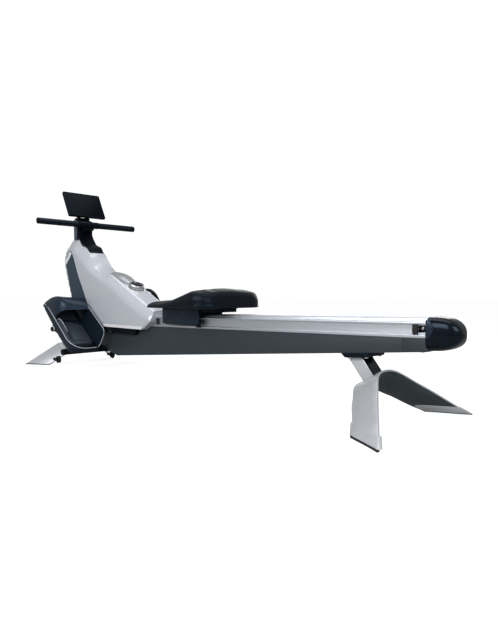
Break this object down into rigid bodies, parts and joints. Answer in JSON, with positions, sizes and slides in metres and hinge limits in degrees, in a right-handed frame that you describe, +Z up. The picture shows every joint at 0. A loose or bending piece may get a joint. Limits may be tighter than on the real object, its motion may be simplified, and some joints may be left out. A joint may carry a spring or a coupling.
{
  "type": "rowing machine",
  "caption": "Indoor rowing machine with a rising seat rail on a tapered beam, arched legs, raised flywheel housing, straight pull handle, tilting screen and hooded footrests.",
  "frame": {"origin": "on the floor, in the middle of the overall footprint", "axes": "+X from the flywheel end to the rail's end cap (the rower faces -X), +Y to the rower's right, +Z up"},
  "size_m": [2.4691, 0.6, 1.0066],
  "materials": {
    "beam_paint": "satin dark slate",
    "rail_aluminium": "satin anodised",
    "gloss_black": "gloss",
    "dark_plastic": "fine grain",
    "grey_plastic": "satin",
    "silver_shell": "pearl",
    "petrol_panel": "satin metallic",
    "leg_paint": "satin silver",
    "bracket_paint": "satin",
    "rubber_black": "matt",
    "wheel_rubber": "matt",
    "steel": "bright",
    "iron": "machined",
    "screen_glass": "gloss",
    "smoked_dome": "smoked satin",
    "seat_leather": "smooth",
    "foot_plastic": "grained",
    "strap_web": "woven",
    "belt_rubber": "ribbed"
  },
  "bodies": {
    "frame": {"main_beam": "beam_paint", "beam_rear_plug": "beam_paint", "seat_rail": "rail_aluminium", "rail_end_cap": "gloss_black", "rail_stops": "rubber_black", "rail_side_plates": "grey_plastic", "rear_leg_bracket": "bracket_paint", "rear_leg_post": "leg_paint", "rear_leg_arch": "leg_paint", "front_leg_bracket": "bracket_paint", "front_leg_arch": "leg_paint", "foot_pads": "rubber_black", "housing_shell_left": "silver_shell", "housing_shell_right": "silver_shell", "side_panel_left": "petrol_panel", "side_panel_right": "petrol_panel", "spine_cover": "silver_shell", "slope_dome": "smoked_dome", "mast_post": "steel", "mast_cap": "petrol_panel", "mast_inlay": "gloss_black", "handle_cradle": "dark_plastic", "console_neck": "dark_plastic", "fan_guard": "dark_plastic", "drive_frame": "bracket_paint", "drive_axles": "steel", "drive_belt": "belt_rubber", "magnet_arm": "steel", "dial_collar": "silver_shell", "support_bar": "bracket_paint", "footrest_left": "foot_plastic", "footrest_right": "foot_plastic", "toe_hood_left": "foot_plastic", "toe_hood_right": "foot_plastic", "frame_bolts": "steel"},
    "console": {"console_housing": "dark_plastic", "console_screen": "screen_glass", "console_pin": "steel"},
    "dial": {"dial_knob": "grey_plastic", "dial_face": "gloss_black"},
    "handle": {"handle_bar": "steel", "handle_grips": "rubber_black", "handle_clamp": "dark_plastic", "handle_end_plugs": "dark_plastic", "pull_strap": "strap_web"},
    "flywheel": {"flywheel": "iron"},
    "spool": {"strap_spool": "dark_plastic"},
    "guide_roller": {"strap_roller": "dark_plastic"},
    "seat": {"carriage_frame": "bracket_paint", "roller_pins": "steel", "carriage_covers": "dark_plastic", "seat_base": "dark_plastic", "seat_pad": "seat_leather"},
    "front_rollers": {"front_rollers": "dark_plastic"},
    "rear_rollers": {"rear_rollers": "dark_plastic"},
    "lower_rollers": {"lower_rollers": "dark_plastic"},
    "heel_left": {"heel_cup_left": "dark_plastic"},
    "heel_right": {"heel_cup_right": "dark_plastic"},
    "wheel_left": {"transport_wheel_left": "wheel_rubber"},
    "wheel_right": {"transport_wheel_right": "wheel_rubber"}
  },
  "joints": [
    {"name": "seat_slide", "type": "slide", "parent": "frame", "child": "seat", "axis": [0.9998, 0, 0.0178], "range_m": [-0.06, 0.93]},
    {"name": "front_roller_spin", "type": "hinge", "parent": "seat", "child": "front_rollers", "pos_m": [-0.09809, 0, 0.31836], "axis": [0, 1, 0], "continuous": true},
    {"name": "rear_roller_spin", "type": "hinge", "parent": "seat", "child": "rear_rollers", "pos_m": [0.07189, 0, 0.32139], "axis": [0, 1, 0], "continuous": true},
    {"name": "lower_roller_spin", "type": "hinge", "parent": "seat", "child": "lower_rollers", "pos_m": [-0.0125, 0, 0.28628], "axis": [0, 1, 0], "continuous": true},
    {"name": "handle_pull", "type": "slide", "parent": "frame", "child": "handle", "axis": [1, 0, 0], "range_m": [0, 1.2]},
    {"name": "spool_spin", "type": "hinge", "parent": "frame", "child": "spool", "pos_m": [-0.76, 0, 0.33], "axis": [0, 1, 0], "continuous": true},
    {"name": "guide_roller_spin", "type": "hinge", "parent": "frame", "child": "guide_roller", "pos_m": [-1.055, 0, 0.7967], "axis": [0, 1, 0], "continuous": true},
    {"name": "flywheel_spin", "type": "hinge", "parent": "frame", "child": "flywheel", "pos_m": [-0.52, 0, 0.307], "axis": [0, 1, 0], "continuous": true},
    {"name": "dial_turn", "type": "hinge", "parent": "frame", "child": "dial", "pos_m": [-0.482, 0, 0.43311], "axis": [0.4179, 0, 0.9085], "range_deg": [0, 270]},
    {"name": "console_tilt", "type": "hinge", "parent": "frame", "child": "console", "pos_m": [-1.036, 0, 0.885], "axis": [0, 1, 0], "range_deg": [-15, 20]},
    {"name": "heel_slide_left", "type": "slide", "parent": "frame", "child": "heel_left", "axis": [-0.808, 0, 0.5892], "range_m": [-0.02, 0.06]},
    {"name": "heel_slide_right", "type": "slide", "parent": "frame", "child": "heel_right", "axis": [-0.808, 0, 0.5892], "range_m": [-0.02, 0.06]},
    {"name": "wheel_left_spin", "type": "hinge", "parent": "frame", "child": "wheel_left", "pos_m": [-1.05, -0.172, 0.034], "axis": [0, 1, 0], "continuous": true},
    {"name": "wheel_right_spin", "type": "hinge", "parent": "frame", "child": "wheel_right", "pos_m": [-1.05, 0.172, 0.034], "axis": [0, 1, 0], "continuous": true}
  ],
  "couplings": [
    {"joint": "front_roller_spin", "follows": "seat_slide", "rad_per_m": 71.429},
    {"joint": "rear_roller_spin", "follows": "seat_slide", "rad_per_m": 71.429},
    {"joint": "lower_roller_spin", "follows": "seat_slide", "rad_per_m": -90.909},
    {"joint": "spool_spin", "follows": "handle_pull", "rad_per_m": 22.222},
    {"joint": "guide_roller_spin", "follows": "handle_pull", "rad_per_m": 66.667}
  ]
}
